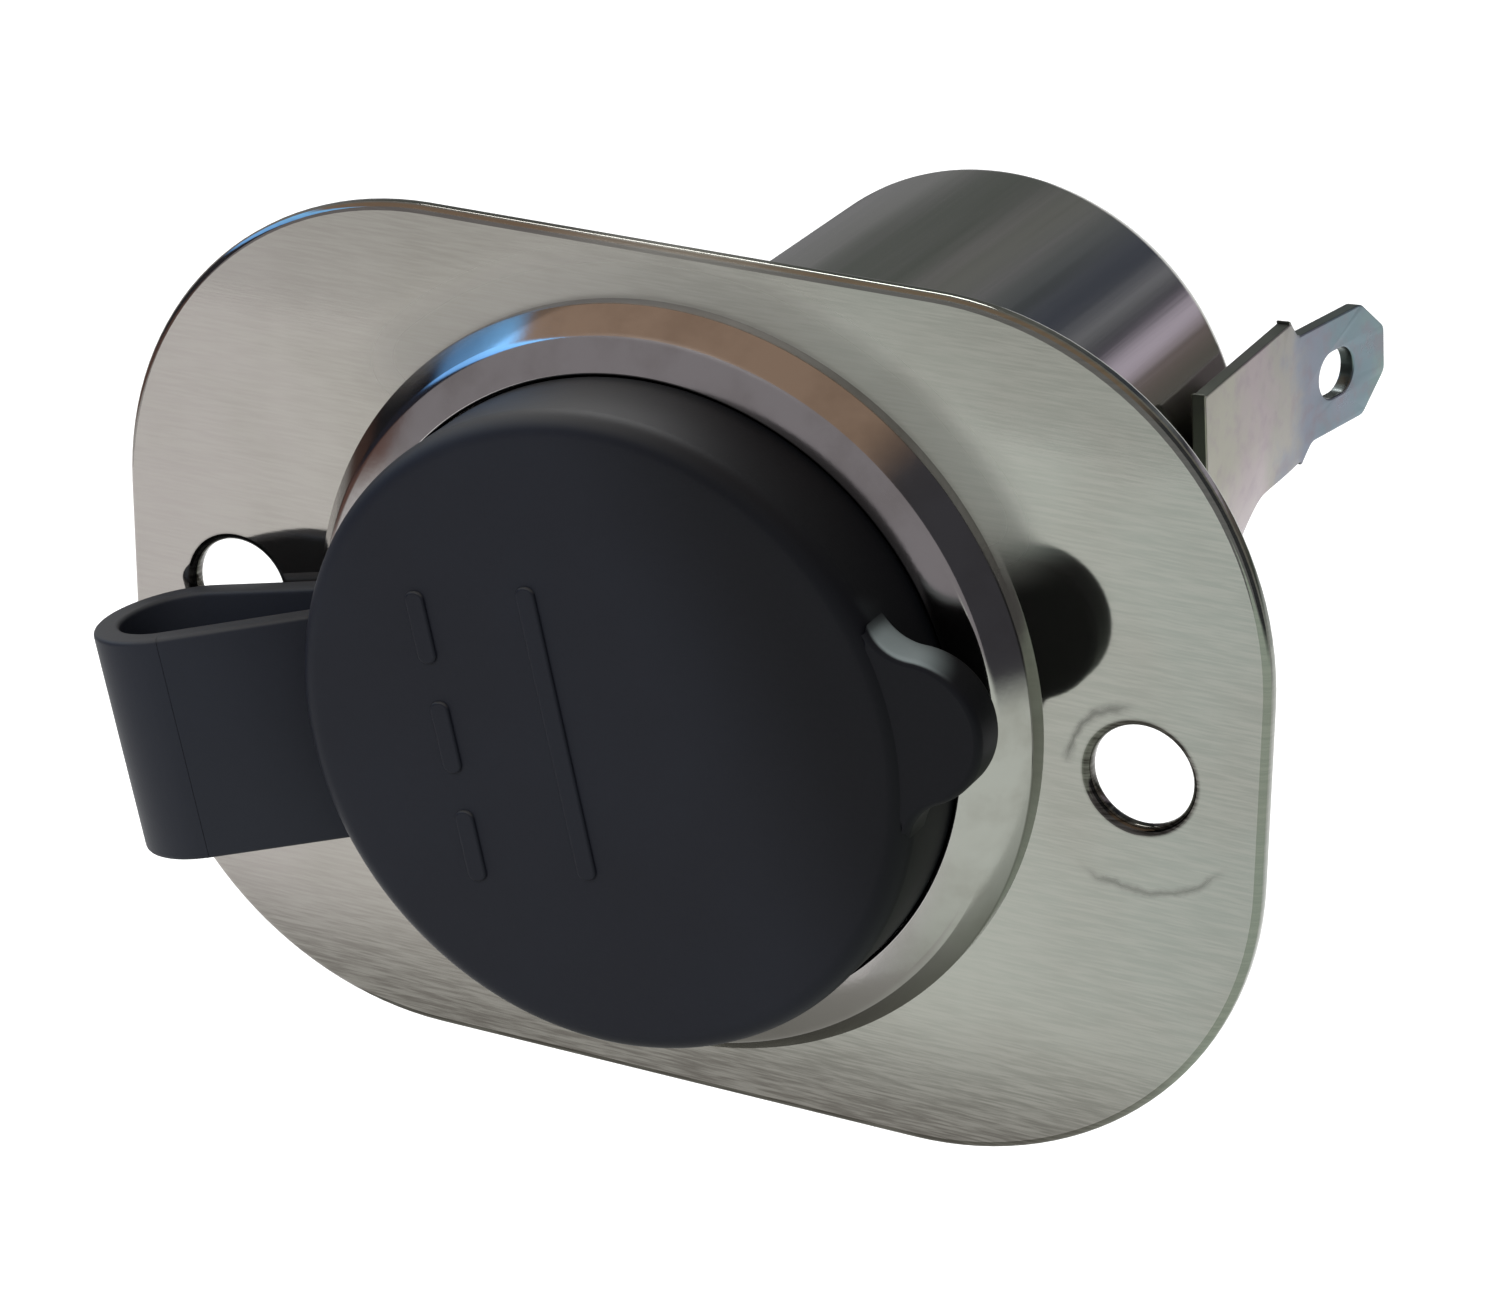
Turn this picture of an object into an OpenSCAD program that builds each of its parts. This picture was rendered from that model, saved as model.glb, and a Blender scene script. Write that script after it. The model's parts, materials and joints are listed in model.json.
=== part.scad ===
// Panel-mount 12 V accessory socket with a tethered rubber cap.
// Y runs along the socket: the cap faces -Y and the barrel points to +Y.
// X is the long side of the plate, Z is up, and the origin lies on the socket
// axis in the rear face of the plate, which is the face that meets the panel.

/* [Mounting plate] */
// Width of the plate along X
plate_w = 60; // [56:1:70]
// Height of the plate along Z
plate_h = 43; // [41:0.5:50]
// Radius of the plate's corners
plate_corner_r = 17; // [10:0.5:20]
// Thickness of the plate
plate_t = 1; // [0.8:0.1:2]
// Rounding of the plate's front edge
plate_edge_r = 0.4; // [0.2:0.1:0.6]
// Distance from each end of the plate to the middle of its screw hole
screw_inset = 6.1; // [5.6:0.1:6.8]
// Diameter of the screw holes
screw_hole_d = 5; // [3.5:0.1:5.4]

/* [Socket well] */
// Bore that takes the plug
bore_d = 21.2; // [20.8:0.1:21.8]
// Wall of the well
well_wall = 1; // [0.8:0.1:1.2]
// Distance from the panel face to the floor of the well
well_reach = 30; // [29.5:0.5:31]
// Thickness of the well's floor
well_floor_t = 1.2; // [1:0.1:1.6]
// Outer diameter of the flange
flange_d = 36.8; // [36.2:0.2:38]
// Rounding of the flange's outer edge
flange_edge_r = 1.4; // [1:0.05:1.4]
// Thickness of the flange's drawn sheet
dish_t = 0.7; // [0.6:0.05:0.9]
// Depth of the recess in the flange that takes the foot of the cap
seat_depth = 0.7; // [0.5:0.05:0.9]
// Rounding of the mouth of the bore
mouth_r = 0.6; // [0.3:0.1:0.7]

/* [Clamp shell] */
// Outer diameter of the barrel
shell_d = 27.5; // [27.3:0.1:28.5]
// Wall of the barrel
shell_wall = 0.8; // [0.6:0.1:1]
// Depth of the seat in the rear of the plate that takes the barrel's front edge
shell_seat = 0.3; // [0.2:0.05:0.5]
// Room inside the barrel between the bushing's shoulder and the barrel's floor
shell_room = 4.6; // [2:0.2:8]
// Rounding of the barrel's rear edge
shell_edge_r = 1.6; // [1:0.1:2.4]

/* [Rubber cap and strap] */
// Angle of the strap from the plate's long axis
strap_angle = 13; // [0:1:20]
// Width of the strap
strap_w = 11.4; // [9:0.2:13]
// Thickness of the strap
strap_t = 1.3; // [1:0.1:1.5]
// Thickness of the ring that is clamped under the flange
ring_t = 1.2; // [1:0.1:1.6]
// Distance from the socket axis to the centre of the strap's fold
fold_reach = 24.4; // [24:0.1:26]
// Middle radius of the strap's fold
fold_r = 3.4; // [3.2:0.05:3.6]
// Slope of the strap's front leg down to the cap
leg_slope = 20; // [16:0.5:22]
// Diameter of the cap
cap_d = 31.8; // [31:0.1:31.9]
// Height of the cap's face in front of the plate
cap_height = 7; // [6.6:0.1:7.6]
// Thickness of the cap's face
cap_face_t = 2.2; // [1.8:0.1:2.6]
// Wall of the cap's rim
cap_rim_t = 1.8; // [1.2:0.1:2.4]
// Rounding of the cap's front edge
cap_edge_r = 0.9; // [0.4:0.1:1]
// Angle of the pull tab from the plate's long axis
tab_angle = 9; // [0:0.5:20]
// Distance from the socket axis to the tip of the pull tab
tab_reach = 19.3; // [18.6:0.1:21]
// Radius of the tip of the pull tab
tab_tip_r = 3.6; // [2.8:0.1:4]
// Radius of the hollow fillet between tab and cap
tab_fillet_r = 2.5; // [1.5:0.25:4]
// Thickness of the pull tab
tab_t = 2.2; // [1.6:0.1:3]
// Step from the cap's face back to the pull tab
tab_step = 0.2; // [0.1:0.1:1]
// How far the plug skirt reaches behind the panel face
skirt_reach = 3; // [2:0.5:4]
// Wall of the plug skirt
skirt_wall = 1.6; // [1.2:0.1:2]

/* [Centre contact] */
// Diameter of the contact's stud
stud_d = 4; // [3.6:0.2:4.2]
// Length of the stud that stands out behind the terminal nut
stud_proud = 1; // [0.5:0.1:2]
// Diameter of the contact button
button_d = 9; // [8:0.5:11]
// Height of the contact button
button_h = 1.6; // [1.2:0.1:2.4]
// Thickness of the insulating disc
disc_t = 2.5; // [2.2:0.1:3.5]
// Thickness of the collar on the rear insulator
collar_t = 1.5; // [1:0.1:2.5]
// Diameter of the collar on the rear insulator
collar_d = 12; // [10:0.5:14]

/* [Bushing and nuts] */
// Outer diameter of the threaded bushing
bushing_d = 10; // [9.6:0.2:11]
// Bore of the threaded bushing
bushing_bore_d = 6.8; // [6.4:0.1:7.2]
// Diameter of the bushing's flange and shoulder
shoulder_d = 14; // [13:0.5:15]
// Thickness of the bushing's flange inside the well
bushing_flange_t = 1; // [0.8:0.1:1.5]
// Thickness of the bushing's shoulder behind the well
shoulder_t = 2; // [1.5:0.1:3]
// Length of the bushing that stands out behind the clamp nut
bushing_proud = 0.7; // [0.3:0.1:1.5]
// Width of the clamp nut across its flats
clamp_nut_af = 15; // [14:0.5:17]
// Thickness of the clamp nut
clamp_nut_t = 3.5; // [2.5:0.1:5]
// Thickness of the split washer under the clamp nut
clamp_washer_t = 1; // [0.8:0.1:1.6]
// Width of the ring of the split washer under the clamp nut
clamp_washer_w = 3; // [2:0.2:4]
// Width of the terminal nut across its flats
terminal_nut_af = 7; // [6.6:0.1:8]
// Thickness of the terminal nut
terminal_nut_t = 3.2; // [2.4:0.1:4]
// Thickness of the split washer under the terminal nut
terminal_washer_t = 1; // [0.8:0.1:1.2]

/* [Terminals] */
// Width of the push-on blades
blade_w = 6.3; // [4.8:0.1:6.6]
// Thickness of the terminals' sheet metal
blade_t = 0.8; // [0.6:0.05:1]
// Chamfer on the tips of the blades
blade_chamfer = 1.9; // [1:0.1:2.2]
// Length of the chamfers along the blades
blade_slope = 2.2; // [1:0.1:2.6]
// Width of the hole in each blade
blade_hole_w = 2.6; // [1.4:0.1:3]
// Length of the hole in each blade
blade_hole_len = 3.3; // [3.1:0.1:3.8]
// Distance from a blade's tip to the middle of its hole
blade_hole_back = 4.7; // [4.3:0.1:5.4]
// Length of the ground blade from its bend to its tip, measured along the socket
ground_blade_len = 8.3; // [7.8:0.1:10]
// Angle that the ground blade is bent out from the barrel
ground_bend = 12; // [4:1:20]
// Distance from the barrel's rear end back to the shoulders of the ground blade
ground_neck_out = 5.2; // [3:0.2:7]
// Distance from the barrel's rear end forward to the front edge of the ground terminal
ground_overlap = 8; // [7.6:0.2:10]
// Slope of the shoulders of the ground blade, measured along the socket
ground_shoulder = 1.2; // [0.8:0.1:2]
// Length of the foot that is riveted to the barrel
ground_foot_len = 7.2; // [5.6:0.2:7.6]
// Radius of the hollow between the foot and the sheet behind it
ground_hollow_r = 2; // [1:0.2:3]
// Angle around the barrel at which the ground terminal lies
ground_angle = 4; // [0:1:12]
// Angle that the foot of the ground terminal wraps around the barrel
ground_wrap = 48; // [40:1:60]
// Width of the ground terminal above the line where it meets the barrel
ground_upper_w = 4.8; // [4.4:0.1:6.4]
// Width of the ground terminal below the line where it meets the barrel
ground_lower_w = 3.5; // [2.8:0.1:4]
// Height of the middle of the ground blade above that line
ground_blade_rise = 0.7; // [0.4:0.1:1]
// Length of the positive blade from its bend
positive_len = 9.4; // [8.6:0.2:10]
// Width of the ring of the positive terminal around the stud
lug_ring_w = 2.4; // [2:0.1:3]
// Diameter of the rivet that fixes the ground terminal
rivet_d = 2.4; // [2:0.1:2.6]
// Thickness of the rivet's heads
rivet_head_t = 0.6; // [0.4:0.1:0.8]
// How far the rivet's heads stand out past its shank
rivet_lip = 0.9; // [0.5:0.1:1.2]

/* [Grip springs] */
// Width of each leaf spring
leaf_w = 5; // [4:0.2:5.4]
// Thickness of each leaf spring
leaf_t = 0.4; // [0.3:0.05:0.5]
// How far each leaf stands into the bore
leaf_bite = 0.4; // [0.2:0.1:0.6]
// Length of the window that each leaf works through
window_len = 16; // [14:0.5:17]
// Distance from the panel face to the middle of the windows
window_mid = 17; // [15:0.5:18]
// Length of each leaf that rests on the well past its window
leaf_rest = 2; // [1.5:0.1:3]
// Length of the turned-up end of each leaf
leaf_hook = 1.5; // [1:0.1:2]
// Length of the flat in the middle of each leaf
leaf_flat = 3; // [2:0.5:4]

/* [Clearances] */
// Radial clearance between pieces that slip together
slip = 0.05; // [0.02:0.01:0.1]
// Gap between the rubber cap and the metal it sits on
cap_gap = 0.3; // [0.2:0.05:0.5]
// Gap between the plug skirt and the bore at the cap
skirt_gap = 0.2; // [0.15:0.05:0.3]

/* [Hidden] */
$fn = 96;
// A little more than nothing, for cuts that run out past a face
past = 0.5;
// A hair of overlap, for shapes that are fused
bite = 0.02;

// Radii
bore_r = bore_d / 2;
well_r = bore_r + well_wall;
shell_r = shell_d / 2;
shell_in_r = shell_r - shell_wall;
flange_r = flange_d / 2;
ring_r = flange_r - dish_t - slip;
cap_r = cap_d / 2;
seat_r = cap_r + cap_gap;
bushing_r = bushing_d / 2;
stud_r = stud_d / 2;
hole_in_plate_r = (2 * well_r + shell_in_r) / 3;

// Stations along Y, from the cap to the tail
plate_front = -plate_t;
foot_y = plate_front - ring_t;
dish_y = foot_y - dish_t;
land_y = dish_y - seat_depth;
cap_face_y = plate_front - cap_height;
cap_foot_y = dish_y - cap_gap;
disc_y = well_reach - disc_t;
button_y = disc_y - button_h;
well_back = well_reach + well_floor_t;
shell_len = well_back + shoulder_t + shell_room + shell_wall;
washer_y = shell_len;
nut_y = washer_y + clamp_washer_t;
bushing_end = nut_y + clamp_nut_t + bushing_proud;
collar_end = bushing_end + collar_t;
lug_end = collar_end + blade_t;
terminal_nut_y = lug_end + terminal_washer_t;
stud_end = terminal_nut_y + terminal_nut_t + stud_proud;
ground_front = shell_len - ground_overlap;
ground_neck = shell_len + ground_neck_out;
ground_shoulder_y = ground_neck - ground_shoulder;

// Strap: its straight legs, fold and the hinge line of the cap
notch_from = seat_r + dish_t + slip;
rear_leg_y = plate_front - strap_t / 2;
fold_y = rear_leg_y - fold_r;
fold_turn = 180 + leg_slope;
leg_start = [fold_reach - fold_r * sin(leg_slope), fold_y - fold_r * cos(leg_slope)];
// The front leg ends inside the rim's wall, across the strap's whole width
leg_root = (sqrt(cap_r * cap_r - strap_w * strap_w / 4) + cap_r - cap_rim_t) / 2;
leg_len = (leg_start[0] - leg_root) / cos(leg_slope);

// Puts a shape drawn around Z onto the socket's axis, from station y towards +Y
module along(y = 0) {
    translate([0, y, 0]) rotate([-90, 0, 0]) children();
}

// Turns a (radius, station) outline around the socket's axis
module spun() {
    rotate([-90, 0, 0]) rotate_extrude() children();
}

// Frame of the rubber moulding: x runs out along the strap, z across it
module strap_frame() {
    rotate([0, 180 - strap_angle, 0]) children();
}

module tube(r_out, r_in, len) {
    difference() {
        cylinder(r = r_out, h = len);
        translate([0, 0, -past]) cylinder(r = r_in, h = len + 2 * past);
    }
}

module hex_nut(af, r_in, len) {
    difference() {
        cylinder(d = af / cos(30), h = len, $fn = 6);
        translate([0, 0, -past]) cylinder(r = r_in, h = len + 2 * past);
    }
}

module split_washer(r_out, r_in, len, gap) {
    difference() {
        tube(r_out, r_in, len);
        rotate([0, 0, 90]) translate([0, -gap / 2, -past]) cube([r_out + past, gap, len + 2 * past]);
    }
}

// Outline of a push-on blade from its root at y = 0 to its tip at y = len
module blade_outline(len) {
    difference() {
        polygon([[-blade_w / 2, 0], [blade_w / 2, 0],
            [blade_w / 2, len - blade_slope], [blade_w / 2 - blade_chamfer, len],
            [-blade_w / 2 + blade_chamfer, len], [-blade_w / 2, len - blade_slope]]);
        translate([0, len - blade_hole_back]) blade_hole();
    }
}

// Slot that the spring of a push-on receptacle clicks into
module blade_hole() {
    straight = blade_hole_len - blade_hole_w;
    square([blade_hole_w, straight], center = true);
    for (side = [-1, 1]) translate([0, side * straight / 2]) circle(d = blade_hole_w, $fn = 48);
}

// Cross-section of the plate's edge: x runs out from the flat, y from front to rear
edge_band = 2;
module plate_edge_section() {
    square([edge_band - plate_edge_r, plate_t]);
    translate([0, plate_edge_r]) square([edge_band, plate_t - plate_edge_r]);
    translate([edge_band - plate_edge_r, plate_edge_r]) circle(r = plate_edge_r, $fn = 32);
}

module plate_blank() {
    flat_x = plate_w / 2 - plate_corner_r;
    flat_z = plate_h / 2 - plate_corner_r;
    inner_r = plate_corner_r - edge_band;
    along() {
        linear_extrude(plate_t) {
            square([2 * flat_x, 2 * (flat_z + inner_r)], center = true);
            square([2 * (flat_x + inner_r), 2 * flat_z], center = true);
            for (sx = [-1, 1], sz = [-1, 1])
                translate([sx * flat_x, sz * flat_z]) circle(r = inner_r);
        }
        for (turn = [0, 180]) rotate([0, 0, turn]) {
            translate([flat_x + inner_r, flat_z, 0]) rotate([90, 0, 0])
                linear_extrude(2 * flat_z) plate_edge_section();
            translate([-flat_x, flat_z + inner_r, 0]) rotate([90, 0, 90])
                linear_extrude(2 * flat_x) plate_edge_section();
            translate([flat_x, flat_z, 0]) rotate_extrude(angle = 90)
                translate([inner_r, 0]) plate_edge_section();
            translate([-flat_x, flat_z, 0]) rotate([0, 0, 90]) rotate_extrude(angle = 90)
                translate([inner_r, 0]) plate_edge_section();
        }
    }
}

module mounting_plate() color("silver") {
    difference() {
        translate([0, plate_front, 0]) plate_blank();
        along(plate_front - past) cylinder(r = hole_in_plate_r, h = plate_t + 2 * past);
        along(-shell_seat) cylinder(r = shell_r + slip, h = shell_seat + past);
        for (sx = [-1, 1])
            translate([sx * (plate_w / 2 - screw_inset), 0, 0]) along(plate_front - past)
                cylinder(d = screw_hole_d, h = plate_t + 2 * past);
    }
}

// One drawn piece: rim that stands on the plate, recessed seat for the cap, bore and floor
module well_section() {
    edge_x = flange_r - flange_edge_r;
    edge_y = land_y + flange_edge_r;
    translate([flange_r - dish_t, edge_y]) square([dish_t, plate_front - edge_y]);
    intersection() {
        difference() {
            translate([edge_x, edge_y]) circle(r = flange_edge_r, $fn = 64);
            translate([edge_x, edge_y]) circle(r = flange_edge_r - dish_t, $fn = 64);
        }
        translate([edge_x, land_y]) square(flange_edge_r);
    }
    translate([seat_r, land_y]) square([edge_x - seat_r, dish_t]);
    translate([seat_r, land_y]) square([dish_t, foot_y - land_y]);
    translate([bore_r + mouth_r, dish_y]) square([notch_from - slip - bore_r - mouth_r, dish_t]);
    translate([bore_r, dish_y + mouth_r]) square([well_wall, well_back - dish_y - mouth_r]);
    intersection() {
        translate([bore_r + mouth_r, dish_y + mouth_r]) circle(r = mouth_r, $fn = 48);
        translate([bore_r, dish_y]) square(mouth_r);
    }
    translate([bushing_r + slip, well_reach])
        square([well_r - bushing_r - slip, well_floor_t]);
}

module socket_well() color("lightgray") {
    window_w = leaf_w + 2 * leaf_t;
    notch_w = strap_w + 2 * slip;
    difference() {
        spun() well_section();
        for (side = [0, 180])
            rotate([0, side, 0])
                translate([bore_r - past, window_mid - window_len / 2, -window_w / 2])
                    cube([well_wall + 2 * past, window_len, window_w]);
        // Notch in the rim that lets the strap out
        strap_frame() translate([notch_from, plate_front - strap_t - slip, -notch_w / 2])
            cube([flange_r, strap_t + slip + past, notch_w]);
    }
}

// Drawn cup that clamps the plate: open at the panel, rounded at the tail
module shell_section() {
    in_edge = shell_edge_r - shell_wall;
    translate([shell_in_r, -shell_seat]) square([shell_wall, shell_len - shell_edge_r + shell_seat]);
    translate([bushing_r + slip, shell_len - shell_wall])
        square([shell_r - shell_edge_r - bushing_r - slip, shell_wall]);
    intersection() {
        difference() {
            translate([shell_r - shell_edge_r, shell_len - shell_edge_r]) circle(r = shell_edge_r);
            translate([shell_r - shell_edge_r, shell_len - shell_edge_r]) circle(r = in_edge);
        }
        translate([shell_r - shell_edge_r, shell_len - shell_edge_r])
            square([shell_edge_r, shell_edge_r]);
    }
}

// Puts a shape drawn around Z onto the rivet's line, which is square to the barrel
rivet_turn = ground_wrap * 0.65;
module at_rivet() {
    translate([0, ground_front + ground_foot_len / 2, 0])
        rotate([0, -(ground_angle - rivet_turn), 0]) rotate([0, 90, 0]) children();
}

module clamp_shell() color("silver") {
    difference() {
        spun() shell_section();
        at_rivet() translate([0, 0, shell_in_r - past])
            cylinder(d = rivet_d + 2 * slip, h = shell_wall + 2 * past);
    }
}

// Ring under the flange with the strap's rear leg, which lies on the plate
module strap_anchor() color("dimgray") {
    difference() {
        union() {
            along(foot_y) cylinder(r = ring_r, h = ring_t);
            strap_frame() translate([notch_from, plate_front - strap_t, -strap_w / 2])
                cube([fold_reach - notch_from, strap_t, strap_w]);
        }
        along(foot_y - past) cylinder(r = well_r + slip, h = ring_t + 2 * past);
    }
}

// Fold of the strap between the two legs
module strap_fold() color("dimgray") {
    strap_frame() translate([fold_reach, fold_y, -strap_w / 2])
        rotate([0, 0, 90 - fold_turn]) rotate_extrude(angle = fold_turn)
            translate([fold_r - strap_t / 2, 0]) square([strap_t, strap_w]);
}

// Half of the tab's outline: tip, straight flank and hollow fillet to the cap
module tab_outline() {
    tip = tab_reach - tab_tip_r;
    // Centre of the fillet circle, which bites into the cap and the tip circle
    a = cap_r + tab_fillet_r - bite;
    b = tab_tip_r + tab_fillet_r - bite;
    fx = (a * a - b * b + tip * tip) / (2 * tip);
    fz = sqrt(a * a - fx * fx);
    on_cap = [fx, fz] * cap_r / a;
    on_tip = [tip, 0] + ([fx, fz] - [tip, 0]) * tab_tip_r / b;
    difference() {
        union() {
            translate([tip, 0]) circle(r = tab_tip_r);
            polygon([[0, 0], [on_cap[0], -on_cap[1]], [fx, -fz], [on_tip[0], -on_tip[1]],
                on_tip, [fx, fz], on_cap]);
        }
        for (side = [-1, 1]) translate([fx, side * fz]) circle(r = tab_fillet_r);
    }
}

module cap_section() {
    rim_in = cap_r - cap_rim_t;
    face_back = cap_face_y + cap_face_t;
    skirt_r = bore_r - skirt_gap;
    skirt_tip_r = skirt_r - (skirt_reach - dish_y) / 6;
    // Face with a rounded edge
    translate([0, cap_face_y]) square([cap_r - cap_edge_r, cap_face_t]);
    translate([0, cap_face_y + cap_edge_r]) square([cap_r, cap_face_t - cap_edge_r]);
    translate([cap_r - cap_edge_r, cap_face_y + cap_edge_r]) circle(r = cap_edge_r, $fn = 48);
    // Rim that stands over the dished flange
    translate([rim_in, face_back]) square([cap_rim_t, cap_foot_y - face_back]);
    // Tapered plug skirt
    polygon([[skirt_r - skirt_wall, face_back], [skirt_r, face_back], [skirt_r, dish_y],
        [skirt_tip_r, skirt_reach], [skirt_tip_r - skirt_wall, skirt_reach]]);
}

module cap() color("dimgray") {
    spun() difference() {
        cap_section();
        translate([-bore_d, cap_face_y]) square([bore_d, cap_height + skirt_reach + plate_t]);
    }
    // Pull tab, on the side away from the strap
    rotate([0, -tab_angle, 0]) translate([0, cap_face_y + tab_step, 0]) rotate([-90, 0, 0])
        linear_extrude(tab_t) tab_outline();
    // Front leg of the strap, which ends in the wall of the rim
    strap_frame() translate([leg_start[0], leg_start[1], -strap_w / 2])
        rotate([0, 0, 180 - leg_slope])
            translate([0, -strap_t / 2, 0]) cube([leg_len, strap_t, strap_w]);
}

// Side view of the ground terminal: y along the socket, x up from the contact line
module ground_outline() {
    foot_end = ground_front + ground_foot_len;
    blade_top = ground_blade_rise + blade_w / 2;
    blade_low = ground_blade_rise - blade_w / 2;
    polygon([[-ground_lower_w, ground_front], [ground_upper_w, ground_front],
        [ground_upper_w, ground_shoulder_y], [blade_top, ground_neck],
        [blade_low, ground_neck], [-ground_lower_w, ground_shoulder_y]]);
    translate([ground_blade_rise, ground_neck]) blade_outline(ground_blade_len);
    translate([-shell_r, ground_front]) square([shell_r, ground_foot_len]);
    // Hollow corner between the foot and the sheet behind it
    translate([-ground_lower_w - ground_hollow_r, foot_end]) difference() {
        square(ground_hollow_r);
        translate([0, ground_hollow_r]) circle(r = ground_hollow_r, $fn = 64);
    }
}

// Sheet and blade seen from above: one strip, whose blade leans out from the barrel
module ground_strip() {
    inner = shell_r + slip;
    outer = inner + blade_t;
    reach = ground_blade_len + past;
    tip = [inner + reach * tan(ground_bend), ground_neck + reach];
    polygon([[inner, ground_front], [outer, ground_front],
        [outer, ground_neck - blade_t * tan(ground_bend / 2)],
        tip + [blade_t / cos(ground_bend), 0], tip, [inner, ground_neck]]);
}

module ground_terminal() color("tan") {
    difference() {
        rotate([0, -ground_angle, 0]) intersection() {
            union() {
                difference() {
                    translate([0, 0, -shell_r]) linear_extrude(2 * shell_r) ground_strip();
                    translate([0, 0, -shell_r]) cube([2 * shell_r, ground_shoulder_y, shell_r]);
                }
                // Below the contact line the sheet follows the barrel as far as the shoulders
                along(ground_front) rotate_extrude(angle = ground_wrap)
                    translate([shell_r + slip, 0]) square([blade_t, ground_neck - ground_front]);
            }
            translate([2 * shell_r, 0, 0]) rotate([0, -90, 0])
                linear_extrude(2 * shell_r) ground_outline();
        }
        at_rivet() cylinder(d = rivet_d + 2 * slip, h = 2 * shell_r);
    }
}

module ground_rivet() color("silver") {
    head_r = rivet_d / 2 + rivet_lip;
    inside = sqrt(shell_in_r * shell_in_r - head_r * head_r) - rivet_head_t;
    outside = shell_r + slip + blade_t;
    at_rivet() {
        translate([0, 0, inside]) cylinder(d = rivet_d, h = outside + rivet_head_t - inside);
        translate([0, 0, inside]) cylinder(r = head_r, h = rivet_head_t);
        translate([0, 0, outside]) cylinder(r = head_r, h = rivet_head_t);
    }
}

// Bowed leaf that rests on the outside of the well and works through its window
module grip_spring() {
    seat = well_r + slip;
    half = window_len / 2;
    rest = half + leaf_rest;
    hook = rest + leaf_hook;
    hook_x = shell_in_r - leaf_t - leaf_w * leaf_w / (8 * shell_in_r) - 2 * slip;
    bite_x = bore_r - leaf_bite;
    line = [[hook_x, -hook], [seat, -rest], [seat, -half + leaf_t], [bite_x, -leaf_flat / 2],
        [bite_x, leaf_flat / 2], [seat, half - leaf_t], [seat, rest], [hook_x, hook]];
    outer = [for (i = [len(line) - 1 : -1 : 0]) line[i] + [leaf_t, 0]];
    translate([0, window_mid, -leaf_w / 2]) linear_extrude(leaf_w) polygon(concat(line, outer));
}

module grip_spring_right() color("gold") grip_spring();

module grip_spring_left() color("gold") rotate([0, 180, 0]) grip_spring();

// Bushing that is swaged into the floor of the well and takes the clamp nut
module threaded_bushing() color("goldenrod") {
    spun() {
        in_r = bushing_bore_d / 2;
        translate([in_r, well_reach - bushing_flange_t])
            square([shoulder_d / 2 - in_r, bushing_flange_t]);
        translate([in_r, well_reach - bushing_flange_t])
            square([bushing_r - in_r, bushing_end - well_reach + bushing_flange_t]);
        translate([in_r, well_back]) square([shoulder_d / 2 - in_r, shoulder_t]);
    }
}

module clamp_washer() color("gray") {
    along(washer_y)
        split_washer(bushing_r + clamp_washer_w, bushing_r + slip, clamp_washer_t, clamp_washer_t);
}

module clamp_nut() color("silver") {
    along(nut_y) hex_nut(clamp_nut_af, bushing_r + slip, clamp_nut_t);
}

// Moulded disc on the floor of the well, hollowed over the bushing's flange
module insulating_disc() color("saddlebrown") {
    difference() {
        along(disc_y) cylinder(r = bore_r - slip, h = disc_t);
        along(disc_y - past) cylinder(r = stud_r + slip, h = disc_t + 2 * past);
        along(well_reach - bushing_flange_t)
            cylinder(d = shoulder_d + 2 * slip, h = bushing_flange_t + past);
    }
}

// Moulded sleeve through the bushing, with a collar behind it
module rear_insulator() color("saddlebrown") {
    sleeve_y = well_reach - bushing_flange_t;
    difference() {
        union() {
            along(sleeve_y) cylinder(r = bushing_bore_d / 2 - slip, h = collar_end - sleeve_y);
            along(bushing_end) cylinder(d = collar_d, h = collar_t);
        }
        along(sleeve_y - past) cylinder(r = stud_r + slip, h = collar_end - sleeve_y + 2 * past);
    }
}

// Turned contact: domed button in the well and a stud out to the tail
module centre_contact() color("gold") {
    dome = button_h * 0.6;
    spun() {
        translate([0, button_y + dome]) square([stud_r, stud_end - button_y - dome]);
        translate([0, button_y + dome]) square([button_d / 2, button_h - dome]);
        intersection() {
            translate([0, button_y + dome]) scale([button_d / 2 / dome, 1]) circle(r = dome);
            translate([0, button_y]) square([button_d, dome]);
        }
    }
}

// Lug under the nut with a blade bent back from it
module positive_terminal() color("tan") {
    lug_r = stud_r + lug_ring_w;
    difference() {
        union() {
            along(collar_end) cylinder(r = lug_r, h = blade_t);
            translate([-blade_w / 2, collar_end, -lug_r]) cube([blade_w, blade_t, lug_r]);
            translate([0, collar_end, -lug_r]) linear_extrude(blade_t) blade_outline(positive_len);
        }
        along(collar_end - past) cylinder(r = stud_r + slip, h = blade_t + 2 * past);
    }
}

module terminal_washer() color("gray") {
    along(lug_end)
        split_washer(terminal_nut_af / 2, stud_r + slip, terminal_washer_t, terminal_washer_t);
}

module terminal_nut() color("silver") {
    along(terminal_nut_y) hex_nut(terminal_nut_af, stud_r + slip, terminal_nut_t);
}

mounting_plate();
socket_well();
clamp_shell();
strap_anchor();
strap_fold();
cap();
ground_terminal();
ground_rivet();
grip_spring_right();
grip_spring_left();
threaded_bushing();
clamp_washer();
clamp_nut();
insulating_disc();
rear_insulator();
centre_contact();
positive_terminal();
terminal_washer();
terminal_nut();
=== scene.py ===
"""Looks of a panel-mount 12 V socket with a rubber cap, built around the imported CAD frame."""
import json
import math

import bmesh
import bpy
from mathutils import Matrix, Vector


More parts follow.
